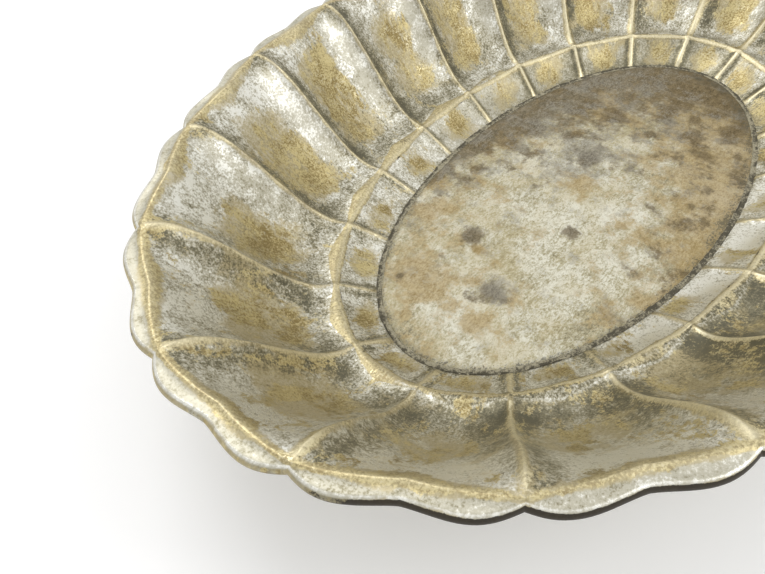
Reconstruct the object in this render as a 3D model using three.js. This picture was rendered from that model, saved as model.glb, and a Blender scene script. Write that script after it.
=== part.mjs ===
// Oval scalloped platter: a fluted brass wall, pressed from sheet and silver plated,
// with a flat floor plate soldered into it and a stiffening wire rolled into its rim.
// Millimetres, +Z up. The origin is under the centre of the floor, on the resting plane,
// with the long axis of the oval along X.

import * as THREE from 'three';

// Driving dimensions: plan
const WELL_LENGTH = 200;
const WELL_WIDTH = 102;
const END_WALL_WIDTH = 63.8;
const SIDE_WALL_WIDTH = 57.8;
const RIDGE_DISTANCE = 13.4;
const LOBE_COUNT = 20;
const CROWDING_AT_FOOT = THREE.MathUtils.degToRad(3.4);
const CROWDING_AT_RIM = THREE.MathUtils.degToRad(4.8);

// Driving dimensions: heights above the floor, and depths
const RIDGE_HEIGHT = 7.9;
const RIM_HEIGHT = 48.4;
const PANEL_DEPTH = 1.1;
const FLUTE_DEPTH = 7.2;

// Driving dimensions: ridge, border and rolled edge
const RIDGE_RIB_WIDTH = 0.9;
const RIDGE_MIDDLE_WIDTH = 4.8;
const BORDER_RIB_WIDTH = 0.2;
const BORDER_MIDDLE_WIDTH = 3.4;
const BORDER_DROP_DEPTH = 0.5;
const BORDER_DIP_DEPTH = 0.35;
const EDGE_BULGE_WIDTH = 2.2;
const ROLL_RADIUS = 1.4;

// Driving dimensions: sheet, floor and seam
const WALL_THICKNESS = 0.6;
const FLOOR_THICKNESS = 1.1;
const SEAT_WIDTH = 3.4;
const SEAM_WIDTH = 1.6;
const SEAM_SLOPE_WIDTH = 0.6;
const SEAM_SINK_DEPTH = 0.2;
const FIT_GAP = 0.3;

// Sampling of the pressed form. A lobe runs from one rib (0) to the next (1).
const LOBE_FRACTIONS = [0, 0.1, 0.22, 0.42, 0.58, 0.78, 0.9];
const PANEL_FRACTIONS = [1 / 3, 2 / 3];
const FLUTE_FRACTIONS = [0.16, 0.33, 0.5, 0.67, 0.84];
const ROLL_STEP = THREE.MathUtils.degToRad(45);
const ROLL_STEPS = 5;
const WIRE_SIDES = 6;
const FLOOR_STEPS = 70;
const STEEPEST_SHELL = 2.2;

// Character of the curves: where the edge bulges most, how sharp the crest's point is,
// and how much of the ridge's widening goes inwards.
const BULGE_PLACE = 1.36;
const CREST_POINT = 0.8;
const RIDGE_INWARD_SHARE = 0.65;

// Sizes that follow from the driving ones
const wellHalfLength = WELL_LENGTH / 2;
const wellHalfWidth = WELL_WIDTH / 2;
const floorUnderside = WALL_THICKNESS + FIT_GAP;
const floorTop = floorUnderside + FLOOR_THICKNESS;
const ridgeTop = floorTop + RIDGE_HEIGHT;
const rimTop = floorTop + RIM_HEIGHT;
const rollInside = ROLL_RADIUS - WALL_THICKNESS;
const wireRadius = rollInside * Math.cos(ROLL_STEP / 2) - FIT_GAP;
const rollTurns = Array.from({ length: ROLL_STEPS }, (_, step) => Math.PI / 2 - (step + 1) * ROLL_STEP);
const wireTurns = Array.from({ length: WIRE_SIDES }, (_, side) => (-2 * Math.PI * side) / WIRE_SIDES);
const lobeCount = Math.round(LOBE_COUNT);
const lobePitch = (2 * Math.PI) / lobeCount;

const stations = [];
for (let lobe = 0; lobe < lobeCount; lobe += 1) {
  for (const fraction of LOBE_FRACTIONS) {
    stations.push({
      angle: (lobe + 0.5 + fraction) * lobePitch,
      fromMiddle: Math.abs(2 * fraction - 1),
    });
  }
}

// Plan width of the wall at one station, from the seam to the notch line of the rim.
function wallWidth(angle) {
  const foot = angle + CROWDING_AT_FOOT * Math.sin(2 * angle);
  return END_WALL_WIDTH * Math.cos(foot) ** 2 + SIDE_WALL_WIDTH * Math.sin(foot) ** 2;
}

// A point that lies `out` beyond the seam oval. The lobes crowd towards the sides of the oval.
function place(angle, out, height) {
  const share = out / wallWidth(angle);
  const crowding = THREE.MathUtils.lerp(CROWDING_AT_FOOT, CROWDING_AT_RIM, share);
  const turn = angle + crowding * Math.sin(2 * angle);
  const x = (wellHalfLength + out) * Math.cos(turn);
  const y = (wellHalfWidth + out) * Math.sin(turn);
  return new THREE.Vector3(x, y, height);
}

// Outer edge of a lobe: a notch at each rib, a bulge beside it, and a straight middle.
function edgeReach({ angle, fromMiddle }) {
  const bulge = EDGE_BULGE_WIDTH * Math.sin(Math.PI * fromMiddle ** BULGE_PLACE);
  return wallWidth(angle) + bulge;
}

// Crest line between flute and border, drawn in to a soft point at the middle of the lobe.
function crestReach({ angle, fromMiddle }) {
  const drawnIn = (BORDER_MIDDLE_WIDTH - BORDER_RIB_WIDTH) * (1 - fromMiddle) ** CREST_POINT;
  return wallWidth(angle) - ROLL_RADIUS - BORDER_RIB_WIDTH - drawnIn;
}

// The ridge is a thin line at a rib and a leaf-shaped land at the middle of the lobe.
function ridgeReach({ fromMiddle }) {
  const widening = (RIDGE_MIDDLE_WIDTH - RIDGE_RIB_WIDTH) * (1 - fromMiddle);
  const width = RIDGE_RIB_WIDTH + widening;
  const inner = RIDGE_DISTANCE - RIDGE_RIB_WIDTH / 2 - widening * RIDGE_INWARD_SHARE;
  return { inner, outer: inner + width };
}

// Upper face of the pressing at one station, from the floor seat to the top of the rolled edge.
// A rib follows an S-curve. Between ribs the face hangs below it, by FLUTE_DEPTH half-way up the flute.
function pressedFace(station) {
  const { angle, fromMiddle } = station;
  const hollow = 1 - fromMiddle ** 2;
  const foot = floorTop - SEAM_SINK_DEPTH;
  const ridge = ridgeReach(station);
  const crest = crestReach(station);
  const rollTop = edgeReach(station) - ROLL_RADIUS;
  const face = [
    place(angle, -SEAM_WIDTH - SEAT_WIDTH, WALL_THICKNESS),
    place(angle, -SEAM_SLOPE_WIDTH, WALL_THICKNESS),
    place(angle, 0, foot),
  ];
  for (const share of PANEL_FRACTIONS) {
    const rise = THREE.MathUtils.lerp(foot, ridgeTop, share);
    const dip = PANEL_DEPTH * hollow * Math.sin(Math.PI * share);
    face.push(place(angle, ridge.inner * share, rise - dip));
  }
  face.push(place(angle, ridge.inner, ridgeTop));
  face.push(place(angle, ridge.outer, ridgeTop));
  for (const share of FLUTE_FRACTIONS) {
    const ogee = THREE.MathUtils.smoothstep(share, 0, 1);
    const scoop = FLUTE_DEPTH * hollow * 8 * share ** 2 * (1 - share);
    const out = THREE.MathUtils.lerp(ridge.outer, crest, share);
    face.push(place(angle, out, THREE.MathUtils.lerp(ridgeTop, rimTop, ogee) - scoop));
  }
  face.push(place(angle, crest, rimTop));
  const borderDip = BORDER_DROP_DEPTH / 2 + BORDER_DIP_DEPTH * hollow;
  face.push(place(angle, (crest + rollTop) / 2, rimTop - borderDip));
  face.push(place(angle, rollTop, rimTop - BORDER_DROP_DEPTH));
  return face;
}

// A point on a circle round the axis of the rolled edge; angle 0 points outwards, 90 degrees up.
function aroundRoll(station, radius, turn) {
  const axisReach = edgeReach(station) - ROLL_RADIUS;
  const axisHeight = rimTop - BORDER_DROP_DEPTH - ROLL_RADIUS;
  const out = axisReach + radius * Math.cos(turn);
  return place(station.angle, out, axisHeight + radius * Math.sin(turn));
}

// Steepness of the pressed face: the vertical thickness that a sheet of thickness 1 has there.
function steepness(faces, row, column) {
  const before = faces[(row + faces.length - 1) % faces.length][column];
  const after = faces[(row + 1) % faces.length][column];
  const inner = faces[row][Math.max(column - 1, 0)];
  const outer = faces[row][Math.min(column + 1, faces[row].length - 1)];
  const along = after.clone().sub(before);
  const across = outer.clone().sub(inner);
  const normal = across.cross(along).normalize();
  return Math.min(1 / Math.abs(normal.z), STEEPEST_SHELL);
}

// Closed sections at the stations, joined all round into one closed body.
function loftRing(sections) {
  const count = sections[0].length;
  const positions = sections.flat().flatMap((point) => point.toArray());
  const index = [];
  sections.forEach((section, row) => {
    const next = ((row + 1) % sections.length) * count;
    const here = row * count;
    const rising = stations[row].fromMiddle > stations[(row + 1) % stations.length].fromMiddle;
    for (let column = 0; column < count; column += 1) {
      const step = (column + 1) % count;
      const [a, b, c, d] = [here + column, here + step, next + step, next + column];
      index.push(...(rising ? [a, b, c, a, c, d] : [a, b, d, b, c, d]));
    }
  });
  const geometry = new THREE.BufferGeometry();
  geometry.setAttribute('position', new THREE.Float32BufferAttribute(positions, 3));
  geometry.setIndex(index);
  return geometry;
}

// The pressing: its upper face, the edge rolled out and under, and the back of the sheet.
// The back lies one sheet below the face, and the floor seat's back is the resting plane.
function flutedWallGeometry() {
  const faces = stations.map(pressedFace);
  const sections = stations.map((station, row) => {
    const face = faces[row];
    const last = face.length - 1;
    const back = face.map((point, column) => {
      const thickness = column === last ? WALL_THICKNESS : WALL_THICKNESS * steepness(faces, row, column);
      return new THREE.Vector3(point.x, point.y, Math.max(point.z - thickness, 0));
    });
    back.splice(last - 1, 1);
    const rollOutside = rollTurns.map((turn) => aroundRoll(station, ROLL_RADIUS, turn));
    const rollBack = rollTurns.map((turn) => aroundRoll(station, rollInside, turn));
    return [...face, ...rollOutside, ...rollBack.reverse(), ...back.reverse()];
  });
  return loftRing(sections);
}

// The floor is a flat oval plate that lies on the seat.
function floorPlateGeometry() {
  const outline = new THREE.Shape();
  const halfLength = wellHalfLength - SEAM_WIDTH;
  const halfWidth = wellHalfWidth - SEAM_WIDTH;
  outline.absellipse(0, 0, halfLength, halfWidth, 0, 2 * Math.PI);
  const settings = { depth: FLOOR_THICKNESS, bevelEnabled: false, curveSegments: FLOOR_STEPS };
  return new THREE.ExtrudeGeometry(outline, settings).translate(0, 0, floorUnderside);
}

// Solder fills the groove between the plate's edge and the slope that leads up to the band.
function seamSolderGeometry() {
  const slopeRise = floorTop - SEAM_SINK_DEPTH - WALL_THICKNESS;
  const slopeLength = Math.hypot(SEAM_SLOPE_WIDTH, slopeRise);
  const clearOfSlope = (FIT_GAP * slopeLength) / slopeRise;
  const bottom = floorUnderside;
  const top = floorTop - SEAM_SINK_DEPTH;
  const slopeAt = (height) => -SEAM_SLOPE_WIDTH * (1 - (height - WALL_THICKNESS) / slopeRise);
  const inner = FIT_GAP - SEAM_WIDTH;
  const sections = stations.map(({ angle }) => [
    place(angle, inner, bottom),
    place(angle, inner, top),
    place(angle, (inner + slopeAt(top) - clearOfSlope) / 2, top + SEAM_SINK_DEPTH / 2),
    place(angle, slopeAt(top) - clearOfSlope, top),
    place(angle, slopeAt(bottom) - clearOfSlope, bottom),
  ]);
  return loftRing(sections);
}

// The wire that stiffens the rim lies inside the rolled edge.
function rimWireGeometry() {
  const sections = stations.map((station) => wireTurns.map((turn) => aroundRoll(station, wireRadius, turn)));
  return loftRing(sections);
}

function piece(name, geometry, color, roughness, metalness) {
  const material = new THREE.MeshStandardMaterial({ color, roughness, metalness });
  const mesh = new THREE.Mesh(geometry, material);
  mesh.name = name;
  return mesh;
}

const platter = new THREE.Group();
platter.add(
  piece('fluted_wall', flutedWallGeometry(), 0xb3a98f, 0.42, 0.9),
  piece('well_floor', floorPlateGeometry(), 0xb8ae98, 0.55, 0.85),
  piece('seam_solder', seamSolderGeometry(), 0x55514a, 0.8, 0.6),
  piece('rim_wire', rimWireGeometry(), 0xa98d4f, 0.4, 0.95),
);

export default platter;
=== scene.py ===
# %% [markdown]
# A deep oval platter in silver plate over brass, long used and much polished. The plate has gone from
# the ribs, the ridge and the middle of each flute, where yellow brass shows, and black tarnish has
# settled beside them. The imported model gives the pieces and their places. This lesson makes the same
# pieces again as fine meshes, gives each its finish, and sets them on a white table before a camera.

# %% Load the frame
import math

import bpy
import numpy as np
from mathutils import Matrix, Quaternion, Vector


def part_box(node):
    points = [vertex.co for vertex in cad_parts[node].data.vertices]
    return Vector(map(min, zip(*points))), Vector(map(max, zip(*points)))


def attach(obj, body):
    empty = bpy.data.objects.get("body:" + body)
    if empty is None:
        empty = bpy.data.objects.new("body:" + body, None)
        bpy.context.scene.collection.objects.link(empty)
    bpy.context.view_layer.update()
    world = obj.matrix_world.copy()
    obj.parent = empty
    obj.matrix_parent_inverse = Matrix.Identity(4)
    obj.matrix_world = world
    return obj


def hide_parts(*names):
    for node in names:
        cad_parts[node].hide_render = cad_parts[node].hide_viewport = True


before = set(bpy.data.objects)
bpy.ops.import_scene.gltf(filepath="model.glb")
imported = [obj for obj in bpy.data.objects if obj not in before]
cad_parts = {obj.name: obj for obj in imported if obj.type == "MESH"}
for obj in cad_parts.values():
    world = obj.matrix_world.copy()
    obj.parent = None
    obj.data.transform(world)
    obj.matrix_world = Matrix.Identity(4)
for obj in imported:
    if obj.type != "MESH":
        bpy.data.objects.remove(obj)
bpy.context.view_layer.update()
MM = 0.001
print("pieces in the frame:", ", ".join(sorted(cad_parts)))

# %% [markdown]
# The camera stands close above the near left lobes and looks down into the dish. Its place and lens
# were found from the ribs, whose crossings with the seam, the ridge and the rim are sharp marks. It is
# aimed at a point on the floor and then tipped a few degrees, because the photograph isn't level.

# %% Set up the camera
FLOOR_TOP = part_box("well_floor")[1].z / MM
CAMERA_PLACE = Vector((-188.0, -75.1, 160.0))
CAMERA_AIM = Vector((-84.3, 25.2, FLOOR_TOP))
CAMERA_TIP = math.radians(-4.3)
CAMERA_LENS = 30.95
CAMERA_NEAR_CLIP = 0.01


def add_camera():
    data = bpy.data.cameras.new("camera")
    data.lens = CAMERA_LENS
    data.clip_start = CAMERA_NEAR_CLIP
    camera = bpy.data.objects.new("camera", data)
    bpy.context.scene.collection.objects.link(camera)
    level = (CAMERA_AIM - CAMERA_PLACE).to_track_quat("-Z", "Y")
    camera.rotation_mode = "QUATERNION"
    camera.rotation_quaternion = level @ Quaternion((0, 0, 1), CAMERA_TIP)
    camera.location = CAMERA_PLACE * MM
    bpy.context.scene.camera = camera
    return camera


print("camera at", [round(c, 3) for c in add_camera().location])

# %% [markdown]
# Every point of the wall is found from two numbers: which part of which lobe it is in, and how far out
# from the seam it lies. The seam is an oval, and a step outwards makes both of its half axes longer by
# the same length. The lobes are crowded towards the long sides, as they are on the real dish, and within
# a lobe the stations gather at its ribs, where the shape is sharpest. Working in whole columns of
# numbers with numpy makes one formula serve for all the lobes at once.

# %% Lay out the lobes
WELL_HALF_LENGTH = 100.0
WELL_HALF_WIDTH = 51.0
END_WALL_WIDTH = 63.8
SIDE_WALL_WIDTH = 57.8
LOBE_COUNT = 20
CROWDING_AT_FOOT = math.radians(3.4)
CROWDING_AT_RIM = math.radians(4.8)
STEPS_PER_LOBE = 44
GATHERING = 0.7

PITCH = 2 * math.pi / LOBE_COUNT
even = np.arange(STEPS_PER_LOBE) / STEPS_PER_LOBE
gathered = 0.5 - 0.5 * np.cos(math.pi * even)
across_one = (1 - GATHERING) * even + GATHERING * gathered
lobe_number = np.repeat(np.arange(LOBE_COUNT), STEPS_PER_LOBE)
across = np.tile(across_one, LOBE_COUNT)
angle = (lobe_number + 0.5 + across) * PITCH
from_middle = np.abs(2 * across - 1)


def wall_width(at):
    """Distance in plan from the seam to the line of the notches."""
    foot = at + CROWDING_AT_FOOT * np.sin(2 * at)
    return END_WALL_WIDTH * np.cos(foot) ** 2 + SIDE_WALL_WIDTH * np.sin(foot) ** 2


def place(at, out, height):
    """Points that lie `out` beyond the seam, as an array of x, y and z in millimetres."""
    crowding = CROWDING_AT_FOOT + (CROWDING_AT_RIM - CROWDING_AT_FOOT) * out / wall_width(at)
    turn = at + crowding * np.sin(2 * at)
    x = (WELL_HALF_LENGTH + out) * np.cos(turn)
    y = (WELL_HALF_WIDTH + out) * np.sin(turn)
    return np.stack([x, y, height + 0 * x], axis=-1)


print("lobes:", LOBE_COUNT, "stations round the oval:", len(angle))

# %% [markdown]
# No old dish is perfectly true. A few long sine waves, each with its own direction and phase, bend a
# surface by tenths of a millimetre, which is enough to break up its reflections. The seed is fixed, so
# the dish comes out the same each time.

# %% Make gentle unevenness
WAVES = 9
SHORTEST_WAVE = 0.7
LONGEST_WAVE = 1.4
RIPPLE_SPREAD = 1.5


def ripple(points, wavelength, seed):
    """An even mix of waves over x and y, between about -1 and 1."""
    random = np.random.default_rng(seed)
    total = np.zeros(points.shape[:-1])
    for _ in range(WAVES):
        heading = random.uniform(0, 2 * math.pi)
        stretch = random.uniform(SHORTEST_WAVE, LONGEST_WAVE)
        phase = random.uniform(0, 2 * math.pi)
        along = points[..., 0] * math.cos(heading) + points[..., 1] * math.sin(heading)
        total += np.sin(2 * math.pi * along / (wavelength * stretch) + phase)
    return total / WAVES**0.5 / RIPPLE_SPREAD


def smooth(low, high, value):
    """A soft step from 0 at low to 1 at high."""
    share = np.clip((value - low) / (high - low), 0, 1)
    return share * share * (3 - 2 * share)


def hill(distance, width):
    """A bell that is 1 at no distance and falls off over the width."""
    return np.exp(-((distance / width) ** 2))


print("a bell at one width from its middle is", round(float(hill(1, 1)), 2), "high")

# %% [markdown]
# A piece that runs all round the oval is a loft: one closed section at each station, joined to the next.
# A curve with a bevel could make a plain ring, but here the section changes from rib to rib, so its
# points are worked out first. A mesh can also carry a number for each point, called an attribute. The
# finishes below read attributes to know how worn or stained a point is.

# %% Build lofted meshes


def loft(name, sections, marks):
    """A closed mesh from sections, an array of stations by points by 3, in millimetres."""
    rows, columns = sections.shape[:2]
    row, column = np.meshgrid(np.arange(rows), np.arange(columns), indexing="ij")
    next_row = (row + 1) % rows
    next_column = (column + 1) % columns
    corners = [(row, column), (row, next_column), (next_row, next_column), (next_row, column)]
    faces = np.stack([r * columns + c for r, c in corners], axis=-1).reshape(-1, 4)
    mesh = bpy.data.meshes.new(name)
    mesh.from_pydata(sections.reshape(-1, 3) * MM, [], faces)
    for mark, values in marks.items():
        kind, field = ("FLOAT_VECTOR", "vector") if values.ndim == 3 else ("FLOAT", "value")
        attribute = mesh.attributes.new(mark, kind, "POINT")
        attribute.data.foreach_set(field, values.astype(np.float32).ravel())
    mesh.shade_smooth()
    piece = bpy.data.objects.new(name, mesh)
    bpy.context.scene.collection.objects.link(piece)
    return piece


def stand_for(piece, node):
    """The piece takes the CAD node's place, on the platter's one body."""
    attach(piece, "root")
    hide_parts(node)
    print(piece.name, "has", len(piece.data.polygons), "faces")


print("a loft round the oval has", len(angle), "sections")

# %% [markdown]
# The wall was pressed from one sheet. Going outwards it has a seat for the floor, a band of shallow
# panels, a ridge, the deep flutes, and a border between a crest line and the rolled edge. Between two
# ribs the ridge opens outwards into a leaf, and the crest is drawn in towards the middle of the lobe.
# These lines over one lobe are all that is needed to draw it.

# %% Draw the lines of one lobe
RIDGE_DISTANCE = 13.4
RIDGE_RIB_WIDTH = 0.9
RIDGE_MIDDLE_WIDTH = 4.8
RIDGE_INWARD_SHARE = 0.2
BORDER_RIB_WIDTH = 0.2
BORDER_MIDDLE_WIDTH = 3.4
EDGE_BULGE_WIDTH = 2.2
ROLL_RADIUS = 1.4
EDGE_FULLNESS = 1.36
CREST_FULLNESS = 0.8

notch_line = wall_width(angle)
edge = notch_line + EDGE_BULGE_WIDTH * np.sin(math.pi * from_middle**EDGE_FULLNESS)
crest = notch_line - ROLL_RADIUS - BORDER_RIB_WIDTH
crest = crest - (BORDER_MIDDLE_WIDTH - BORDER_RIB_WIDTH) * (1 - from_middle) ** CREST_FULLNESS
widening = (RIDGE_MIDDLE_WIDTH - RIDGE_RIB_WIDTH) * (1 - from_middle)
ridge_inner = RIDGE_DISTANCE - RIDGE_RIB_WIDTH / 2 - widening * RIDGE_INWARD_SHARE
ridge_outer = ridge_inner + RIDGE_RIB_WIDTH + widening
print("edge reaches", round(float(edge.max()), 1), "mm beyond the seam")

# %% [markdown]
# The face of the sheet is made in columns, each a ring round the dish. A rib climbs in an S-curve, flat
# at the ridge, steep in the middle and flat again at the rim. Between the ribs the face hangs below
# that curve as a scoop. Along each rib runs a narrow rounded bead, which takes the polish first. The
# face could be sculpted, but a formula keeps the twenty lobes alike.

# %% Shape the face of the wall
WALL_THICKNESS = 0.6
SEAT_REACH = -5.0
SEAM_SLOPE_WIDTH = 0.6
SEAM_SINK_DEPTH = 0.2
RIDGE_TOP = FLOOR_TOP + 7.9
RIM_TOP = FLOOR_TOP + 48.4
BORDER_DROP_DEPTH = 0.5
PANEL_DEPTH = 1.1
FLUTE_DEPTH = 7.2
BORDER_DIP_DEPTH = 0.35
BEAD_ON_BAND = 0.6
BEAD_ON_FLUTE = 0.85
BEAD_WIDTH = 1.35
BEAD_FULL_FROM = 0.2
BEAD_FULL_TO = 0.8
RIDGE_CROWN = 0.12
SCOOP_FULLNESS = 8
BAND_RINGS = 26
RIDGE_RINGS = 9
FLUTE_RINGS = 72
BORDER_RINGS = 14

hollow = 1 - from_middle**2
foot_height = FLOOR_TOP - SEAM_SINK_DEPTH


def rib_distance(out):
    """Distance along a ring to the nearest rib, in millimetres."""
    ring = np.hypot((WELL_HALF_LENGTH + out) * np.sin(angle), (WELL_HALF_WIDTH + out) * np.cos(angle))
    return np.minimum(across, 1 - across) * ring * PITCH


columns = []


def add_column(out, height, zone):
    """One ring of the face. Zones: 0 at the seam, 1 to 2 on the ridge, 3 at the crest, 4 at the edge."""
    columns.append((out + 0 * angle, height + 0 * angle, zone))


add_column(SEAT_REACH, WALL_THICKNESS, -1)
add_column(-SEAM_SLOPE_WIDTH, WALL_THICKNESS, -0.5)
for share in np.linspace(0, 1, BAND_RINGS):
    dip = PANEL_DEPTH * hollow * math.sin(math.pi * share)
    out = ridge_inner * share
    bead = BEAD_ON_BAND * hill(rib_distance(out), BEAD_WIDTH) * smooth(0, BEAD_FULL_FROM, share)
    add_column(out, foot_height + (RIDGE_TOP - foot_height) * share - dip + bead, share)
for share in np.linspace(0, 1, RIDGE_RINGS)[1:]:
    out = ridge_inner + (ridge_outer - ridge_inner) * share
    crown = RIDGE_CROWN * (ridge_outer - ridge_inner) * math.sin(math.pi * share)
    bead = BEAD_ON_BAND * hill(rib_distance(out), BEAD_WIDTH)
    add_column(out, RIDGE_TOP + crown + bead, 1 + share)
for share in np.linspace(0, 1, FLUTE_RINGS)[1:]:
    out = ridge_outer + (crest - ridge_outer) * share
    climb = (RIM_TOP - RIDGE_TOP) * share**2 * (3 - 2 * share)
    scoop = FLUTE_DEPTH * hollow * SCOOP_FULLNESS * share**2 * (1 - share)
    bead = BEAD_ON_FLUTE * hill(rib_distance(out), BEAD_WIDTH) * (1 - smooth(BEAD_FULL_TO, 1, share))
    add_column(out, RIDGE_TOP + climb - scoop + bead, 2 + share)
for share in np.linspace(0, 1, BORDER_RINGS)[1:]:
    out = crest + (edge - ROLL_RADIUS - crest) * share
    dip = BORDER_DIP_DEPTH * hollow * math.sin(math.pi * share)
    add_column(out, RIM_TOP - BORDER_DROP_DEPTH * share - dip, 3 + share)
outs = np.stack([column[0] for column in columns], axis=1)
heights = np.stack([column[1] for column in columns], axis=1)
zones = np.array([column[2] for column in columns])
print("rings on the face:", len(columns))

# %% [markdown]
# Pressed metal has no knife edges, so the corners at the ridge and the crest are rounded by averaging
# each ring with its neighbours a few times. The seat keeps its sharp shape, and the ripple of handling
# grows from nothing at the seam to its full size on the wall.

# %% Round the corners and unsettle the face
ROUNDING_PASSES = 3
LONG_RIPPLE = 0.3
LONG_RIPPLE_LENGTH = 45
SHORT_RIPPLE = 0.07
SHORT_RIPPLE_LENGTH = 9

rounded = smooth(0.02, 0.15, zones) * (1 - smooth(3.85, 4.0, zones))
for _ in range(ROUNDING_PASSES):
    mean = heights.copy()
    mean[:, 1:-1] = (heights[:, :-2] + 2 * heights[:, 1:-1] + heights[:, 2:]) / 4
    heights = heights + (mean - heights) * rounded
face = place(angle[:, None], outs, heights)
settled = smooth(0.2, 2.2, zones)
face[..., 2] += settled * LONG_RIPPLE * ripple(face, LONG_RIPPLE_LENGTH, seed=3)
face[..., 2] += settled * SHORT_RIPPLE * ripple(face, SHORT_RIPPLE_LENGTH, seed=4)
print("face spans", round(float(np.ptp(face[..., 2])), 1), "mm in height")

# %% [markdown]
# The back of the sheet lies one thickness under its face. On a slope that is more than one thickness
# straight down, so the drop is divided by how upright the surface's normal is. The edge is rolled out,
# down and under, and its end stops short of the wall, which leaves room for the wire.

# %% Close the section with the back and the rolled edge
STEEPEST_SHELL = 2.2
ROLL_INSIDE = ROLL_RADIUS - WALL_THICKNESS
ROLL_START_TURN = 90
ROLL_END_TURN = -135
ROLL_POINTS = 16

along = np.roll(face, -1, axis=0) - np.roll(face, 1, axis=0)
outwards = np.gradient(face, axis=1)
normal = np.cross(outwards, along)
upright = np.abs(normal[..., 2]) / np.linalg.norm(normal, axis=-1)
drop = WALL_THICKNESS * np.minimum(1 / upright, STEEPEST_SHELL)
drop[:, -1] = WALL_THICKNESS
back = face.copy()
back[..., 2] = np.maximum(face[..., 2] - drop, 0)

roll_turns = np.radians(np.linspace(ROLL_START_TURN, ROLL_END_TURN, ROLL_POINTS))
roll_axis_out = edge - ROLL_RADIUS
roll_axis_height = face[:, -1, 2] - ROLL_RADIUS


def around_roll(radius, turn):
    """A ring round the axis of the rolled edge; turn 0 points outwards."""
    out = roll_axis_out + radius * math.cos(turn)
    return place(angle, out, roll_axis_height + radius * math.sin(turn))


roll_face = np.stack([around_roll(ROLL_RADIUS, turn) for turn in roll_turns[1:]], axis=1)
roll_back = np.stack([around_roll(ROLL_INSIDE, turn) for turn in roll_turns[:0:-1]], axis=1)
sections = np.concatenate([face, roll_face, roll_back, back[:, ::-1]], axis=1)
print("points in one section of the wall:", sections.shape[1])

# %% [markdown]
# Wear could be painted on by hand, but it follows the shape, and a formula stays with the shape when a
# size changes. So where wear lies is worked out here, point by point, and only its ragged edges are left
# to the finish. First each point gets its place on its lobe: its share of the way from one rib to the
# next, its distance from the nearest rib, the ridge and the crest, and how much it belongs to the band of
# panels, the ridge, the flutes or the border.

# %% Find each point's place on its lobe
zone = zones[None, :] + 0 * outs
share_across = across[:, None] + 0 * outs
rib_gap = np.stack([rib_distance(ring) for ring in outs.T], axis=1)
ridge_gap = outs - ridge_inner[:, None]
crest_gap = outs - crest[:, None]


def zone_span(start, full, fading, end):
    """1 between two zones, with a soft rise before them and a soft fall after them."""
    return smooth(start, full, zone) * (1 - smooth(fading, end, zone))


on_band = zone_span(-0.1, 0.05, 0.93, 1.0)
on_ridge = zone_span(0.93, 1.05, 1.95, 2.02)
on_flute = zone_span(1.98, 2.04, 2.97, 3.0)
on_border = smooth(2.99, 3.02, zone)
print("points on the flutes:", int((on_flute > 0.5).sum()), "of", on_flute.size)

# %% [markdown]
# The sides of the dish differ, partly by age and partly by light that is painted in. A far flute is
# tarnished along one rib and has a painted sheen along the other, and a near flute has painted shade by
# the ridge and a painted highlight by the crest. So each side gets a weight. It is 1 on the lobes that
# face one way, and fades to 0 round the oval. A strength or a width can then be written as one value
# with a change for each side.

# %% Weigh the sides of the dish


def facing(degrees, low, high):
    """A weight for each station, by the cosine of its turn from this direction: 0 at low, 1 at high."""
    return smooth(low, high, np.cos(angle - math.radians(degrees)))[:, None]


far_lobes = facing(45, 0.2, 0.9)
sheen_lobes = facing(60, -0.2, 0.5)
left_lobes = facing(150, -0.2, 0.7)
short_patches = facing(155, 0.94, 0.985)
near_lobes = facing(-118, 0.3, 0.95)
right_flutes = facing(-112, 0.93, 0.99)
right_panels = facing(-100, 0.7, 0.92)
# This weight marks the near side, where the roll's painted shade is blackest.
near_roll_shade = facing(-100, 0.3, 0.5)
left_only = left_lobes * (1 - near_lobes)
SIDES = {
    "far": far_lobes,
    "sheen": sheen_lobes,
    "left": left_lobes,
    "short": short_patches,
    "near": near_lobes,
    "right": right_panels,
}


def by_side(value, **changes):
    """A value that changes by the given amount where a side has its full weight."""
    return value + sum(change * SIDES[side] for side, change in changes.items())


# The dirty roll that is printed is the roll's painted shade.
print("share of the oval with a dirty roll:", round(float(near_roll_shade.mean()), 2))

# %% [markdown]
# Brass shows where a cloth rubs. In each flute that is a patch down the middle, which differs from lobe
# to lobe in width, place, length and strength, and in each panel it is a round spot.

# %% Lay patches of brass in the flutes and panels
PATCH_SEED = 12
PATCH_FADE_IN = 0.25
PATCH_FADE_OUT = 0.3
SPOT_WIDTH = 0.28

lobe_random = np.random.default_rng(PATCH_SEED)


def per_lobe(low, high):
    """One random number for each lobe, given to all of the lobe's points."""
    return lobe_random.uniform(low, high, LOBE_COUNT)[lobe_number][:, None]


patch_width = per_lobe(0.85, 1.15) * by_side(0.36, sheen=-0.1, near=0.2)
patch_shift = per_lobe(-0.07, 0.07)
patch_start = by_side(per_lobe(2.0, 2.12), near=0.12)
patch_end = by_side(per_lobe(2.85, 3.0), near=-0.15, left=0.05, short=-0.2)
patch_bare = per_lobe(0.66, 0.86) * by_side(1, near=-0.5, far=-0.1, sheen=0.2)
patch_along = zone_span(patch_start, patch_start + PATCH_FADE_IN, patch_end - PATCH_FADE_OUT, patch_end)
patch = on_flute * patch_bare * hill(share_across - 0.5 - patch_shift, patch_width) * patch_along

spot_across = hill(share_across - by_side(0.5, right=-0.2), SPOT_WIDTH)
spot_along = hill(zone - by_side(0.38, far=0.15), by_side(0.36, far=0.15))
spot = on_band * by_side(0.85, right=-0.4, far=-0.15) * spot_across * spot_along
print("strongest patch:", round(float(patch.max()), 2), "strongest spot:", round(float(spot.max()), 2))

# %% [markdown]
# On the raised lines the brass is polished as well: on the ribs, along the ridge's inner edge and, to the
# left and right, over its leaf, and on the crest. The widths are in millimetres.

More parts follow.
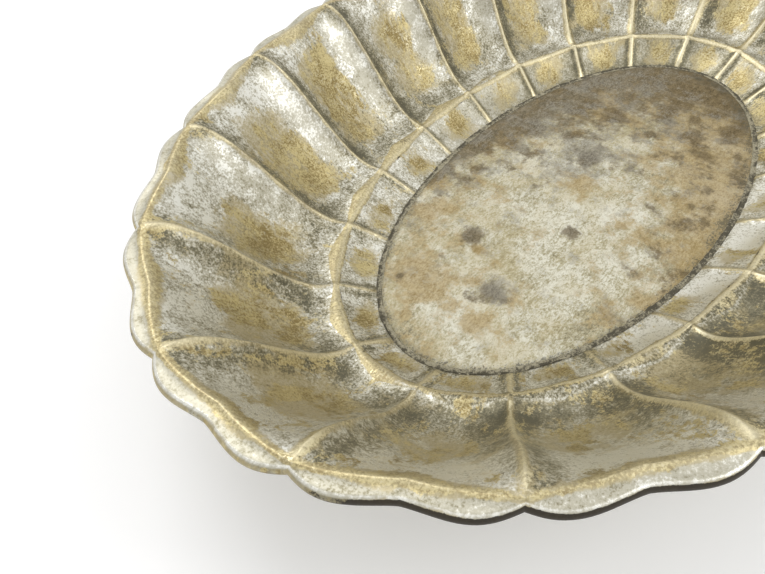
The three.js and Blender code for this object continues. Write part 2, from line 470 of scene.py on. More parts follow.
# %% Polish the raised lines
mid_lobe = hill(share_across - 0.5, 0.25)
flute_rib_width = by_side(1.4, left=-0.4) + by_side(0.3, near=0.5) * smooth(2.3, 2.95, zone)
flute_rib = on_flute * by_side(0.9, left=-0.25) * hill(rib_gap, flute_rib_width)
band_rib_width = by_side(0.95, right=0.3)
band_rib = on_band * by_side(0.95, left=-0.25, right=-0.35) * hill(rib_gap, band_rib_width)
right_leaf = right_panels * hill(share_across - 0.35, 0.4)
leaf = on_ridge * np.maximum(0.3 * left_only, 0.4 * right_leaf)
ridge_width = by_side(0.8, near=-0.3, right=0.6)
ridge_line = by_side(0.8, left=-0.2) * hill(ridge_gap, ridge_width)
crest_width = 1.2 + 0.8 * mid_lobe
crest_line = (by_side(0.4, left=-0.2) + 0.15 * mid_lobe) * hill(crest_gap, crest_width)
polished = np.maximum.reduce([flute_rib, band_rib, leaf, ridge_line, crest_line])
print("share of the face that is polished:", round(float((polished > 0.5).mean()), 2))

# %% [markdown]
# Brass without polish lies wider round the ridge and the crest, and thinly over the near flutes. Silver
# is left on the border, and by the crest of the near flutes, where a painted highlight brightens it. A
# painted sheen keeps one side of each far flute silver and smooth.

# %% Wear the plate off
# A painted highlight by the crest of the near flutes, where silver is left.
near_silver_highlight = near_lobes * smooth(2.55, 2.8, zone) * smooth(0.12, 0.4, share_across)
# The sheen is a painted highlight beside one rib of each far flute.
sheen = sheen_lobes * on_flute * hill(share_across - 0.14, 0.13) * zone_span(2.15, 2.5, 2.85, 2.97)
near_worn = 0.3 * on_flute * near_lobes * (1 - near_silver_highlight)
ridge_worn = np.maximum(0.75 * on_ridge * left_only, 0.9 * hill(ridge_gap, 1.1))
crest_worn = 0.9 * hill(crest_gap, 1.0 + 1.4 * hill(share_across - 0.5, 0.3))
border_silver = on_border * by_side(0.4, left=-0.3) * (1 - np.maximum(polished, crest_worn))
brass = np.maximum.reduce([polished, patch, spot, near_worn, ridge_worn, crest_worn])
brass = brass - border_silver - 0.3 * sheen
print("share of the face with brass:", round(float((brass > 0.5).mean()), 2))

# %% [markdown]
# Tarnish stays where a cloth can't reach: in the corners by the notches, beside the ribs, under the crest
# and round the edges of the panels. On the near flutes the dark before each rib is painted shade, and the
# panels' edges get painted shade as well, which rounds them. On the far side the tarnish lies on the other
# side of each rib, and the side with the painted sheen is kept clear of it. Whole areas also have more or
# less of it, and that is added at the end, with painted shade on the near flutes and painted highlights
# that lift the silver.

# %% Mark the tarnish
corner = smooth(0.62, 0.95, from_middle)[:, None] * smooth(2.75, 2.95, zone) * on_flute * (1 - near_silver_highlight)
dark_side = share_across + sheen_lobes * (1 - 2 * share_across)
both_sides = 0.45 * (1 - sheen_lobes)
after_rib = both_sides + (1 - both_sides) * smooth(0.75, 0.25, dark_side)
after_rib = after_rib * hill(rib_gap - 3.2, 3.4) * smooth(2.02, 2.2, zone)
# On the near flutes the dark before each rib is painted shade.
near_shade_before_rib = 1.2 * near_lobes * smooth(0.55, 0.92, share_across) * hill(zone - 2.4, 0.3)
under_crest = by_side(0.5, left=-0.35) * hill(crest_gap + 1.8, 1.6)
beside_lines = on_flute * np.maximum.reduce([after_rib, near_shade_before_rib, under_crest])
# The panels' edges are tarnished, and they are also darkened as painted shade that makes the panels look
# rounded.
panel_edge_tarnish_and_shade = np.maximum(0.55 * hill(zone, 0.1), 1.1 * hill(rib_gap - 1.7, 1.1))
panel_edge_tarnish_and_shade = on_band * panel_edge_tarnish_and_shade * by_side(0.8, right=-0.5, far=-0.25)
tarnish_and_shading = np.maximum.reduce([corner, beside_lines, panel_edge_tarnish_and_shade]) * (1 - 0.7 * polished)

# The left flutes are darker by the ridge and paler by the crest, and the right flutes darker all over. The
# near flutes get painted shade by the ridge and a painted highlight by the crest.
left_dark = left_only * (1 - smooth(2.1, 2.5, zone))
left_pale = left_only * smooth(2.6, 2.85, zone) * (1 - corner)
near_shade = near_lobes * by_side(1, right=-0.7) * (1 - smooth(2.12, 2.42, zone))
flute_cover = (near_shade + 0.5 * left_dark - 0.15 * left_pale - 0.5 * near_silver_highlight) * (1 - polished)
flute_cover = flute_cover + 0.3 * far_lobes + 0.7 * right_flutes
# A painted highlight brightens the middle of each right panel.
panel_highlight = right_panels * hill(share_across - 0.6, 0.4) * hill(zone - 0.55, 0.5)
band_cover = by_side(0.4, far=0.25) * by_side(1, left=-0.8) * (1 - right_panels) - 0.7 * panel_highlight
tarnish_and_shading = tarnish_and_shading + on_band * band_cover + on_ridge * by_side(0.3, near=0.6)
tarnish_and_shading = tarnish_and_shading + on_flute * flute_cover + on_border * by_side(-0.2, left=0.6)
print("share of the face with tarnish:", round(float((tarnish_and_shading > 0.5).mean()), 2))

# %% [markdown]
# Two marks are left for the face. Calm places are smooth and hold few specks: the border, the far panels,
# the strips of painted sheen, and the near flutes where their painted shade is darkest. Grime is black.
# It fills the corners and lies in a line under the ridge and along the seam.

# %% Mark the calm places and the grime
near_calm = np.maximum(0.2 * near_lobes * (1 - near_silver_highlight), 0.45 * near_shade) * (1 - corner)
flute_calm = on_flute * np.maximum(near_calm, 0.4 * right_flutes)
border_calm = on_border * by_side(0.8, left=-0.15, near=-0.2)
calm = np.maximum.reduce([border_calm, flute_calm, 0.5 * on_band * far_lobes, 0.6 * sheen])
under_ridge = 0.45 * hill(ridge_gap + 0.9, 0.5)
by_seam = 0.2 * hill(zone, 0.06)
grime_and_shade = np.maximum(0.3 * corner * (1 - polished), on_band * np.maximum(under_ridge, by_seam))
print("most grime on the face:", round(float(grime_and_shade.max()), 2))

# %% [markdown]
# The roll is polished on top, and its outside is painted dark as shade, black on the near side. The back
# of the sheet has an even tarnish and a worn patch behind each flute. The flow is each point's way round
# and out in millimetres, which lets noise be drawn out along the flutes.

# %% Make the wall
ROLL_UNSHADED_TURN = 68
ROLL_SHADED_TURN = 40
ROLL_CALM = 0.7
BACK_TARNISH = 0.5
BACK_WEAR = 0.8
FLOW_RADIUS = 110

roll_shade = smooth(ROLL_UNSHADED_TURN, ROLL_SHADED_TURN, np.degrees(roll_turns[1:])) + 0 * angle[:, None]
roll_inside = np.zeros(roll_back.shape[:2])
clean_back = np.concatenate([roll_inside, np.zeros(back.shape[:2])], axis=1)
worn_back = np.concatenate([roll_inside, BACK_WEAR * patch[:, ::-1]], axis=1)
flow = np.stack([FLOW_RADIUS * angle[:, None] + 0 * outs, outs, 0 * outs], axis=-1)
roll_flow = np.repeat(flow[:, -1:], roll_face.shape[1] + roll_back.shape[1], axis=1)
stretches = {
    "brass": [brass, 0.1 + 0.35 * roll_shade, worn_back],
    "polished": [polished, 1 - roll_shade, clean_back],
    # On the roll, the tarnish and grime marks carry painted shade on its outside.
    "tarnish_and_shading": [tarnish_and_shading, 0.9 * roll_shade - 0.25, clean_back + BACK_TARNISH],
    "grime_and_shade": [grime_and_shade, roll_shade * (0.3 + 0.6 * near_roll_shade), clean_back],
    "calm": [calm, ROLL_CALM + 0 * roll_shade, clean_back],
    "flow": [flow, roll_flow, flow[:, ::-1]],
}
marks = {name: np.concatenate(values, axis=1) for name, values in stretches.items()}
plated_wall = loft("plated_wall", sections, marks)
stand_for(plated_wall, "fluted_wall")

# %% [markdown]
# Food has stained the floor. Each stain is a soft spot with a place, a size and a strength, and there are
# three sorts of them: brown, grey and ochre. They could be painted, but a spot with a place in
# millimetres is easily moved. The finish breaks their edges up.

# %% Place the stains
STAINS = {
    "brown": [
        (84, -4, 15, 0.9), (62, -30, 10, 0.8), (42, -40, 8, 0.6), (70, 26, 13, 0.6), (86, 14, 11, 0.7),
        (40, 43, 10, 0.6), (44, -27, 8, 0.7), (15, 6, 5, 1.2), (-47, 16, 4.5, 1.0), (-77, 24, 2, 1.0),
        (-61, 19, 3, 0.6), (-67, -2, 5, 0.7), (-55, -16, 4, 0.5), (-25, -9, 3, 0.8), (-64, -3, 6, 0.8),
    ],
    "grey": [
        (-63, -4, 7, 0.8), (24, 36, 11, 0.7), (18, 7, 14, 0.8), (2, 13, 10, 0.6), (55, -8, 10, 0.6),
        (43, 7, 9, 0.4), (-46, 18, 4, 0.5), (-29, 11, 5, 0.4),
    ],
    "ochre": [
        (-45, 36, 14, 0.7), (5, 38, 8, 0.9), (-27, 32, 10, 0.6), (-77, 13, 7, 1.2), (-79, -7, 6, 0.9),
        (-51, 11, 3, 1.0), (0, 3, 9, 0.8), (-31, -2, 4, 0.5), (19, -34, 13, 0.7), (17, -44, 8, 0.6),
        (52, 19, 18, 0.8), (-72, 18, 16, 0.8),
    ],
}


def stain_map(points, stains):
    """The strongest stain at each point, from 0 to about 1."""
    strongest = np.zeros(points.shape[:-1])
    for x, y, size, strength in stains:
        away = np.hypot(points[..., 0] - x, points[..., 1] - y)
        strongest = np.maximum(strongest, strength * hill(away, size))
    return strongest


print("stains:", sum(len(stains) for stains in STAINS.values()))

# %% [markdown]
# The floor is a flat oval plate with a slightly rounded edge, and it has the faint waves of a plate that
# was beaten flat. A filled outline would give the shape, but only points all over the plate can carry
# the stains, so it is drawn as rings that shrink towards its centre.

# %% Draw the floor plate
SEAM_WIDTH = 1.6
FLOOR_THICKNESS = 1.1
EDGE_ROUND = 0.25
FLOOR_RINGS = 70
FLOOR_STATIONS = 480
CENTRE_SHARE = 0.0005
UNDERSIDE_SHARE = 0.5
FLOOR_WAVE = 0.12
FLOOR_WAVE_LENGTH = 38

floor_under = FLOOR_TOP - FLOOR_THICKNESS
floor_turn = np.linspace(0, 2 * math.pi, FLOOR_STATIONS, endpoint=False)
floor_section = [(share, FLOOR_TOP) for share in np.linspace(CENTRE_SHARE, 1, FLOOR_RINGS)]
floor_section += [(1.0, FLOOR_TOP - EDGE_ROUND), (1.0, floor_under)]
floor_section += [(UNDERSIDE_SHARE, floor_under), (CENTRE_SHARE, floor_under)]
inset = np.zeros(len(floor_section))
inset[FLOOR_RINGS - 1] = EDGE_ROUND
share = np.array([step[0] for step in floor_section])
half_length = (WELL_HALF_LENGTH - SEAM_WIDTH) * share - inset
half_width = (WELL_HALF_WIDTH - SEAM_WIDTH) * share - inset
floor_points = np.stack(
    [
        np.cos(floor_turn)[:, None] * half_length,
        np.sin(floor_turn)[:, None] * half_width,
        np.array([step[1] for step in floor_section]) + 0 * floor_turn[:, None],
    ],
    axis=-1,
)
on_top = (np.arange(len(share)) < FLOOR_RINGS - 1) * smooth(1.0, 0.9, share)
floor_points[..., 2] += on_top * FLOOR_WAVE * ripple(floor_points, FLOOR_WAVE_LENGTH, seed=8)
print("points on the floor plate:", floor_points.shape[0] * floor_points.shape[1])

# %% [markdown]
# Under the stains lies a thin general cover, brown on the far side and ochre to the left and right. Dirt
# has gathered along the edge. Each sort of stain becomes one mark on the points of the upper face.

# %% Stain the floor and make it
on_face = (np.arange(len(share)) < FLOOR_RINGS) + 0 * floor_turn[:, None]
floor_marks = {name: on_face * stain_map(floor_points, stains) for name, stains in STAINS.items()}
along_floor = floor_points[..., 0] / WELL_HALF_LENGTH
across_floor = floor_points[..., 1] / WELL_HALF_WIDTH
far_part = smooth(-0.1, 0.7, 0.8 * along_floor + 0.6 * across_floor)
left_part = smooth(0.1, 0.9, 0.6 * across_floor - 0.8 * along_floor)
right_part = smooth(0, 0.8, 0.6 * along_floor - 0.8 * across_floor)
general = {
    "brown": 0.1 + 0.15 * right_part + 0.55 * far_part + 0.35 * far_part * smooth(0.7, 1.0, share),
    "grey": 0.15 + 0.2 * far_part,
    "ochre": 0.12 + 0.32 * left_part + 0.65 * right_part + 0.15 * far_part,
}
for name, cover in general.items():
    floor_marks[name] = np.maximum(floor_marks[name], on_face * cover)
right_rim = right_part * smooth(0.88, 0.98, share)
floor_marks["rim_dirt"] = on_face * np.maximum(smooth(0.95, 1.0, share), right_rim)
floor_plate = loft("floor_plate", floor_points, floor_marks)
stand_for(floor_plate, "well_floor")

# %% [markdown]
# Solder was run into the groove between floor and wall, and left as it set: lumpy, dull and grainy. A
# section of a few points follows the groove, and ripples vary its height and its two lips along the way.
# The mark says where dirt has gathered, which is mostly along the outer lip. On the right and far sides it
# also paints shade over the whole bead.

# %% Run the solder into the seam
SEAM_MIDDLE = -0.7
SOLDER_DEPTH = 0.9
INNER_LIP_REACH = 0.7
OUTER_LIP_REACH = 0.6
LIP_OVERLAP = 0.1
LUMP_HEIGHT = 0.05
LUMP_WAVES = [(17, 1.0, 21), (4.5, 0.7, 22), (2, 0.5, 25)]
SPILL_WAVES = [(11, 1.0, 23), (3.5, 0.6, 24)]

seam_ring = place(angle, SEAM_MIDDLE + 0 * angle, FLOOR_TOP)


def seam_ripple(waves):
    """Ripples along the seam, each with a wavelength, a weight and a seed."""
    return sum(weight * ripple(seam_ring, length, seed) for length, weight, seed in waves)


lump = seam_ripple(LUMP_WAVES)
inner_lip = -SEAM_WIDTH + LIP_OVERLAP - INNER_LIP_REACH * smooth(-0.8, 1.4, lump)
spill = seam_ripple(SPILL_WAVES)
outer_lip = LIP_OVERLAP + OUTER_LIP_REACH * smooth(-0.6, 0.9, spill)
solder_top = FLOOR_TOP - 0.02 + LUMP_HEIGHT * lump
solder_outline = [
    (inner_lip, FLOOR_TOP - SOLDER_DEPTH, 0.2),
    (inner_lip, FLOOR_TOP - 0.12, 0.2),
    (inner_lip + 0.15, solder_top - 0.02, 0.0),
    (inner_lip + 0.5, solder_top + 0.03, 0.0),
    ((inner_lip + outer_lip) / 2, solder_top - 0.1, 0.3),
    (outer_lip - 0.3, solder_top, 1.0),
    (outer_lip, solder_top - 0.05, 1.2),
    (-SEAM_SLOPE_WIDTH, FLOOR_TOP - SOLDER_DEPTH, 1.2),
]
solder_sections = np.stack([place(angle, out, height) for out, height, dirt in solder_outline], axis=1)
seam_dirt_and_shade = np.array([dirt for out, height, dirt in solder_outline]) + 0 * angle[:, None]
# On the right and far sides the mark paints shade over the bead.
seam_dirt_and_shade = seam_dirt_and_shade * (1 - right_panels) + 0.6 * right_panels + 0.25 * far_lobes
solder_bead = loft("solder_bead", solder_sections, {"seam_dirt_and_shade": seam_dirt_and_shade})
stand_for(solder_bead, "seam_solder")

# %% [markdown]
# A wire lies in the rolled edge and keeps it stiff. It shows only from underneath. A curve with a round
# bevel would do, but a loft follows the rolled edge by the same formula.

# %% Lay the wire in the rolled edge
WIRE_CLEARANCE = 0.3
WIRE_RADIUS = ROLL_INSIDE - WIRE_CLEARANCE
WIRE_SIDES = 14

wire_turns = np.linspace(0, -2 * math.pi, WIRE_SIDES, endpoint=False)
wire_sections = np.stack([around_roll(WIRE_RADIUS, turn) for turn in wire_turns], axis=1)
edge_wire = loft("edge_wire", wire_sections, {})
stand_for(edge_wire, "rim_wire")

# %% [markdown]
# A finish is a graph of nodes, and most of the graph is arithmetic. The class below stands for one
# output in the graph, so that the arithmetic can be written as a formula: adding two of them makes an
# Add node. Its `node` method makes any other node from its type, its settings and its inputs. A Mix node
# has several sockets of one name, so its sockets for colours are found by number.

# %% Write node graphs as formulas
MIX_FIRST_COLOUR = 6
MIX_SECOND_COLOUR = 7
MIX_COLOUR = 2


class Signal:
    """One output socket of a material's graph."""

    def __init__(self, tree, socket):
        self.tree = tree
        self.socket = socket

    @classmethod
    def node(cls, tree, kind, settings, inputs, output=0):
        made = tree.nodes.new(kind)
        for name, value in settings.items():
            setattr(made, name, value)
        for name, value in inputs.items():
            if isinstance(value, Signal):
                tree.links.new(value.socket, made.inputs[name])
            else:
                made.inputs[name].default_value = value
        return cls(tree, made.outputs[output])

    def math(self, operation, first, second):
        return Signal.node(self.tree, "ShaderNodeMath", {"operation": operation}, {0: first, 1: second})

    def __add__(self, other):
        return self.math("ADD", self, other)

    __radd__ = __add__

    def __mul__(self, other):
        return self.math("MULTIPLY", self, other)

    __rmul__ = __mul__

    def __sub__(self, other):
        return self.math("SUBTRACT", self, other)

    def __rsub__(self, other):
        return self.math("SUBTRACT", other, self)

    def step(self, low, high):
        """A soft step from 0 at low to 1 at high."""
        settings = {"interpolation_type": "SMOOTHSTEP"}
        inputs = {"Value": self, "From Min": low, "From Max": high}
        return Signal.node(self.tree, "ShaderNodeMapRange", settings, inputs)

    def between(self, first, second):
        """The first colour where this is 0 and the second where it is 1."""
        inputs = {"Factor": self, MIX_FIRST_COLOUR: first, MIX_SECOND_COLOUR: second}
        return Signal.node(self.tree, "ShaderNodeMix", {"data_type": "RGBA"}, inputs, MIX_COLOUR)

    def swing(self, weight):
        """Noise from 0 to 1 made to swing evenly about 0, with this weight."""
        return (self - 0.5) * weight


def colour(red, green, blue):
    """A colour as read off a screen, from 0 to 255, in the linear values that shaders use."""
    shares = [value / 255 for value in (red, green, blue)]
    return tuple(((s + 0.055) / 1.055) ** 2.4 if s > 0.04045 else s / 12.92 for s in shares) + (1.0,)


print("a screen grey of 128 is", round(colour(128, 128, 128)[0], 3), "to a shader")

# %% [markdown]
# All the finishes start alike: a graph with Blender's general shader, and noise laid over the object at a
# size given in millimetres. Noise can be stretched along one direction, which turns it into scratches.

# %% Start a finish and lay noise over it


def new_finish(name):
    material = bpy.data.materials.new(name)
    material.use_nodes = True
    shader = material.node_tree.nodes["Principled BSDF"]
    return material, material.node_tree, shader


def noise(tree, size, detail, at=None, stretch=(1, 1, 1), turn=0.0, offset=0.0, roughness=0.6):
    """Noise from 0 to 1 in grains of about `size` millimetres, on the object's coordinates or on `at`."""
    if at is None:
        at = Signal.node(tree, "ShaderNodeTexCoord", {}, {}, "Object")
    turned = Signal.node(
        tree,
        "ShaderNodeMapping",
        {"vector_type": "POINT"},
        {"Vector": at, "Location": (offset, offset, offset), "Rotation": (0, 0, turn), "Scale": stretch},
    )
    settings = {"noise_dimensions": "3D"}
    inputs = {"Vector": turned, "Scale": 1 / (size * MM), "Detail": detail, "Roughness": roughness}
    return Signal.node(tree, "ShaderNodeTexNoise", settings, inputs)


def mark(tree, name):
    """The number that the mesh carries for each point under this name."""
    return Signal.node(tree, "ShaderNodeAttribute", {"attribute_name": name}, {}, "Fac")


def wire_up(tree, shader, **signals):
    for name, signal in signals.items():
        tree.links.new(signal.socket, shader.inputs[name.replace("_", " ")])


def bump(tree, height, distance, strength):
    """A Normal that tilts as if the surface rose and fell by `distance` millimetres."""
    inputs = {"Height": height, "Distance": distance * MM, "Strength": strength}
    return Signal.node(tree, "ShaderNodeBump", {}, inputs)


waiting = [plated_wall, floor_plate, solder_bead, edge_wire]
print("pieces that wait for a finish:", ", ".join(piece.name for piece in waiting))

# %% [markdown]
# The wall's finish has three layers. Silver goes from pale to dull to dark by one level of mixed noise,
# which tarnish and painted shade pull down and painted highlights lift. Brass breaks through it with a
# torn edge, olive and dusty in the flutes and paler on the ribs. Where the level is lowest, dark specks
# crowd together. Grime fills the corners, and the same black paints shade on the outside of the roll.
# An image of worn metal would repeat from lobe to lobe, and noise doesn't. Flecks and streaks follow the
# flow, which counts in millimetres and not in metres, so their sizes are divided by MM.

# %% Finish the wall in worn plate
SILVER_PALE = colour(226, 225, 216)
SILVER_DULL = colour(181, 177, 160)
SILVER_DARK = colour(132, 126, 102)
PLATE_THIN = colour(170, 156, 116)
BRASS_PALE = colour(222, 214, 184)
BRASS_OCHRE = colour(196, 182, 134)
BRASS_BROWN = colour(134, 117, 74)
TARNISH_DARK = colour(70, 68, 52)
# Black for grime, and for the painted shade on the roll.
GRIME_AND_SHADE_BLACK = colour(34, 27, 17)
FLECK_SIZE = 1 / MM
STREAK_SIZE = 8 / MM
DRAWN_OUT = (1, 0.6, 1)


def worn_plate():
    material, tree, shader = new_finish("worn_plate")
    flow = Signal.node(tree, "ShaderNodeAttribute", {"attribute_name": "flow"}, {}, "Vector")
    haze = noise(tree, size=18, detail=5, offset=1.3)
    ragged = noise(tree, size=9, detail=10, offset=7.7, roughness=0.7)
    blotch = noise(tree, size=6, detail=10, offset=12.4, roughness=0.72)
    fleck = noise(tree, size=FLECK_SIZE, detail=5, at=flow, stretch=DRAWN_OUT, roughness=0.75)
    pit = noise(tree, size=0.7, detail=4, offset=3.1, roughness=0.75)
    worn = mark(tree, "brass")
    polished = mark(tree, "polished")
    tarnish_and_shading = mark(tree, "tarnish_and_shading")
    calm = mark(tree, "calm")

    broken = blotch.swing(1.0) + fleck.swing(0.8) + pit.swing(1.4)
    island = noise(tree, size=7, detail=8, offset=21.7, roughness=0.65).step(0.54, 0.57)
    level = (broken + 0.12 * island) * (1 - calm) - tarnish_and_shading * 0.28 + 0.53
    pale = level.step(0.48, 0.66)
    silver = level.step(0.28, 0.46).between(SILVER_DARK, SILVER_DULL)
    silver = pale.between(silver, SILVER_PALE)
    thin = (worn + ragged.swing(1.8) + haze.swing(1.0)).step(0.2, 0.5)
    silver = (thin * 0.65).between(silver, PLATE_THIN)

    streak = noise(
        tree, size=STREAK_SIZE, detail=9, at=flow, stretch=DRAWN_OUT, offset=17.7, roughness=0.75
    )
    torn = streak.swing(4.5) + blotch.swing(2.0) + fleck.swing(1.0) + pit.swing(1.4)
    bare = (worn + torn * (1 - 0.7 * polished) * (1 - 0.8 * calm)).step(0.42, 0.6)
    brass_grain = haze.swing(0.8) + ragged.swing(1.2) + fleck.swing(1.2) + pit.swing(2.4)
    brass_tone = (brass_grain + 0.5).step(0.2, 0.8)
    dust = (blotch.swing(1.6) + pit.swing(2.4) + 0.3).step(0.4, 0.7)
    ochre = brass_tone.between(BRASS_BROWN, BRASS_OCHRE)
    dusty = (dust * (0.5 - 0.5 * polished)).between(ochre, SILVER_DULL)
    brass = (polished * (0.4 + pit)).between(dusty, BRASS_PALE)
    plate = bare.between(silver, brass)

    black = level.step(0.3, 0.1) * (1 - 0.9 * bare)
    specked = (black * 0.75).between(plate, TARNISH_DARK)
    grime_and_shade_cover = (mark(tree, "grime_and_shade") + blotch.swing(1.2) + pit.swing(1.0)).step(0.38, 0.6)
    wire_up(
        tree,
        shader,
        Base_Color=(grime_and_shade_cover * 0.95).between(specked, GRIME_AND_SHADE_BLACK),
        Roughness=0.44 - 0.1 * pale - 0.06 * polished - 0.06 * calm + 0.12 * grime_and_shade_cover,
        Metallic=0.8 + 0.18 * pale - 0.3 * black - 0.4 * grime_and_shade_cover,
        Normal=bump(tree, (pit + ragged + pale * 0.3) * (1 - 0.8 * calm), distance=0.14, strength=0.5),
    )
    return material


plated_wall.data.materials.append(worn_plate())
print("finish:", plated_wall.data.materials[0].name)

# %% [markdown]
# The floor was rubbed flat and matt, and fine scratches run across it in two directions. Each sort of
# stain is broken up by noise of its own, so that brown, grey and ochre overlap by chance. Dirt has
# gathered along the edge, by the seam.

# %% Finish the floor in matt, stained plate
FLOOR_PALE = colour(222, 220, 206)
FLOOR_CREAM = colour(176, 169, 140)
FLOOR_DARK = colour(130, 123, 98)
FLOOR_WARM = colour(186, 172, 128)
BROWN_DARK = colour(58, 47, 27)
BROWN_PALE = colour(122, 104, 68)
GREY_DARK = colour(100, 95, 84)
GREY_PALE = colour(164, 160, 146)
OCHRE_DARK = colour(144, 120, 70)
OCHRE_PALE = colour(188, 168, 120)
SCRATCH_TURN = math.radians(50)
CROSS_TURN = math.radians(-25)


def matt_plate():
    material, tree, shader = new_finish("matt_plate")
    pit = noise(tree, size=0.55, detail=4, stretch=(0.6, 1, 1), roughness=0.75)
    fleck = noise(tree, size=2.0, detail=6, stretch=(0.6, 1, 1), offset=2.3, roughness=0.7)
    ragged = noise(tree, size=10, detail=9, offset=5.2, roughness=0.7)
    haze = noise(tree, size=30, detail=4, offset=9.4)
    scratch = noise(tree, size=5, detail=3, stretch=(1, 0.06, 1), turn=SCRATCH_TURN, offset=4.4)
    cross_scratch = noise(tree, size=5, detail=3, stretch=(1, 0.05, 1), turn=CROSS_TURN, offset=8.8)

    def stain(name, offset):
        """A stain's cover, broken up by noise of its own."""
        marked = mark(tree, name)
        own = noise(tree, size=8, detail=10, offset=offset, roughness=0.72)
        broken = own.swing(3.8) + fleck.swing(1.2) + pit.swing(1.0)
        return (marked + broken * marked.step(0, 0.25) * (1.25 - marked)).step(0.25, 0.75)

    level = haze.swing(0.6) + ragged.swing(0.6) + fleck.swing(0.9) + pit.swing(1.2) + 0.5
    ground = level.step(0.36, 0.64).between(FLOOR_CREAM, FLOOR_PALE)
    ground = level.step(0.4, 0.16).between(ground, FLOOR_DARK)
    warmth = noise(tree, size=14, detail=8, offset=31.5, roughness=0.65).step(0.42, 0.62)
    ground = (warmth * 0.35).between(ground, FLOOR_WARM)
    ochre = stain("ochre", 41.2)
    brown = stain("brown", 52.6)
    grey = stain("grey", 63.9)
    grain = (pit * 0.6 + fleck * 0.4).step(0.36, 0.64)
    stained = (ochre * 0.75).between(ground, grain.between(OCHRE_DARK, OCHRE_PALE))
    stained = (brown * 0.8).between(stained, grain.between(BROWN_DARK, BROWN_PALE))
    stained = (grey * 0.65).between(stained, grain.between(GREY_DARK, GREY_PALE))
    dirt = (mark(tree, "rim_dirt") * 0.3 + pit * 1.2 + ragged.swing(0.9)).step(0.84, 1.0)
    lines = (scratch * 0.5 + cross_scratch * 0.5).step(0.5, 0.62)
    scratched = (lines * 0.07).between(stained, FLOOR_PALE)
    wire_up(
        tree,
        shader,
        Base_Color=(dirt * 0.75).between(scratched, TARNISH_DARK),
        Roughness=0.56 + 0.12 * fleck + 0.1 * brown,
        Metallic=0.6 - 0.3 * dirt - 0.25 * brown,
        Normal=bump(tree, pit + lines * 0.3 + fleck * 0.8, distance=0.35, strength=0.8),
    )
    return material


floor_plate.data.materials.append(matt_plate())
print("finish:", floor_plate.data.materials[0].name)

# %% [markdown]
# Solder is dull and granular, pale where it stands proud and dark in the groove, and painted shade
# darkens it on the right and far sides. The wire is plain drawn brass gone brown.

# %% Finish the solder and the wire
SOLDER_DARK = colour(92, 87, 72)
SOLDER_PALE = colour(186, 179, 154)
WIRE_DARK = colour(120, 98, 56)
WIRE_PALE = colour(170, 144, 90)
SOLDER_METALLIC = 0.4
WIRE_METALLIC = 0.95


def dull_solder():
    material, tree, shader = new_finish("dull_solder")
    grain = noise(tree, size=0.9, detail=5, roughness=0.85)
    clot = noise(tree, size=6, detail=6, offset=6.1, roughness=0.7)
    gap = noise(tree, size=3, detail=5, offset=14.3, roughness=0.7).step(0.42, 0.6)
    pale = (grain * 3.2 + clot * 1.6 - mark(tree, "seam_dirt_and_shade") * (0.1 + 0.9 * gap)).step(1.9, 2.6)
    shader.inputs["Metallic"].default_value = SOLDER_METALLIC
    wire_up(
        tree,
        shader,
        Base_Color=pale.between(SOLDER_DARK, SOLDER_PALE),
        Roughness=0.55 + 0.15 * grain,
        Normal=bump(tree, grain + clot, distance=0.8, strength=1.0),
    )
    return material


def drawn_wire():
    material, tree, shader = new_finish("drawn_wire")
    grain = noise(tree, size=1.5, detail=4)
    shader.inputs["Metallic"].default_value = WIRE_METALLIC
    wire_up(
        tree,
        shader,
        Base_Color=grain.step(0.4, 0.6).between(WIRE_DARK, WIRE_PALE),
        Roughness=0.4 + 0.15 * grain,
    )
    return material


solder_bead.data.materials.append(dull_solder())
edge_wire.data.materials.append(drawn_wire())
print("finishes:", solder_bead.data.materials[0].name, edge_wire.data.materials[0].name)

# %% [markdown]
# The platter stands on a plain pale table. A little glow that only the camera and mirror-like rays see
# lifts the table to white, and the shadow stays.

# %% Set the table
TABLE_SIZE = 4.0
TABLE_WHITE = (0.9, 0.9, 0.9, 1.0)
TABLE_ROUGHNESS = 0.9
TABLE_SHINE = 0.1
TABLE_GLOW = 0.2
BLACK = (0.0, 0.0, 0.0, 1.0)
WHITE = (1.0, 1.0, 1.0, 1.0)


def seen_or_mirrored(tree):
    """1 for rays that come from the camera or from a shiny or clear surface, 0 for the rest."""
    rays = ["Is Camera Ray", "Is Glossy Ray", "Is Transmission Ray"]
    seen, mirrored, through = [Signal.node(tree, "ShaderNodeLightPath", {}, {}, ray) for ray in rays]
    return (seen + mirrored + through).step(0, 1)


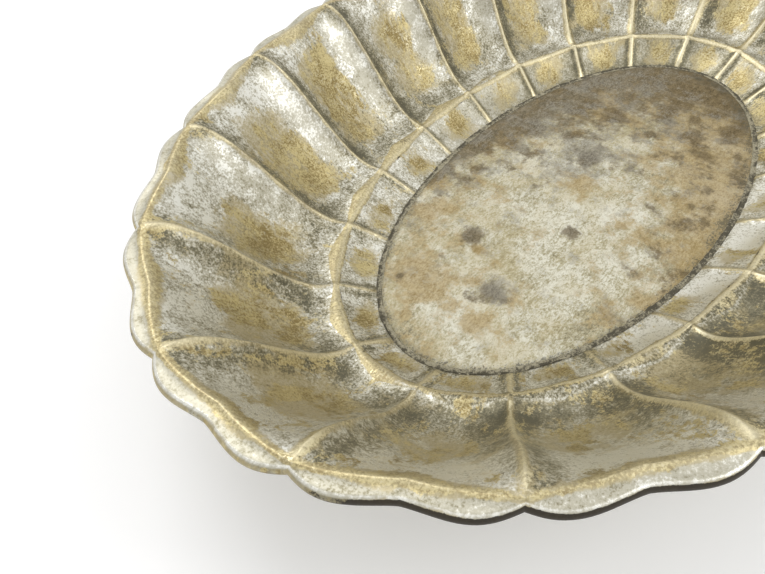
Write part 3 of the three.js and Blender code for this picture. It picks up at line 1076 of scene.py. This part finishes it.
def table_finish():
    material, tree, shader = new_finish("white_table")
    shader.inputs["Base Color"].default_value = TABLE_WHITE
    shader.inputs["Roughness"].default_value = TABLE_ROUGHNESS
    shader.inputs["Specular IOR Level"].default_value = TABLE_SHINE
    shader.inputs["Emission Strength"].default_value = TABLE_GLOW
    wire_up(tree, shader, Emission_Color=seen_or_mirrored(tree).between(BLACK, WHITE))
    return material


half = TABLE_SIZE / 2
corners = [(-half, -half, 0), (half, -half, 0), (half, half, 0), (-half, half, 0)]
table_mesh = bpy.data.meshes.new("table")
table_mesh.from_pydata(corners, [], [(0, 1, 2, 3)])
table_mesh.materials.append(table_finish())
table = bpy.data.objects.new("table", table_mesh)
bpy.context.scene.collection.objects.link(table)
print("table of", TABLE_SIZE, "m")

# %% [markdown]
# Light comes from everywhere, as in a bright room, and a little more from three soft lamps. Metal shows
# what stands round it, so mirror-like rays meet a white room, and the lamps decide which flutes shine.

# %% Light the room
ROOM_LIGHT = 0.75
LAMPS = {
    "softbox": {"place": (0.1, -0.1, 1.3), "size": 1.5, "power": 1.0},
    "window": {"place": (0.56, -0.86, 0.95), "size": 0.55, "power": 3.2},
    "lamp": {"place": (0.2, 0.74, 1.17), "size": 0.7, "power": 5},
}

world = bpy.data.worlds.new("room")
bpy.context.scene.world = world
world.use_nodes = True
background = world.node_tree.nodes["Background"]
room_grey = (ROOM_LIGHT, ROOM_LIGHT, ROOM_LIGHT, 1.0)
room_colour = seen_or_mirrored(world.node_tree).between(room_grey, WHITE)
world.node_tree.links.new(room_colour.socket, background.inputs["Color"])
for name, lamp in LAMPS.items():
    data = bpy.data.lights.new(name, "AREA")
    data.size = lamp["size"]
    data.energy = lamp["power"]
    lamp_object = bpy.data.objects.new(name, data)
    lamp_object.location = lamp["place"]
    lamp_object.rotation_mode = "QUATERNION"
    lamp_object.rotation_quaternion = (-Vector(lamp["place"])).to_track_quat("-Z", "Y")
    bpy.context.scene.collection.objects.link(lamp_object)
bpy.context.scene.view_settings.view_transform = "Standard"
print("lamps:", ", ".join(LAMPS))
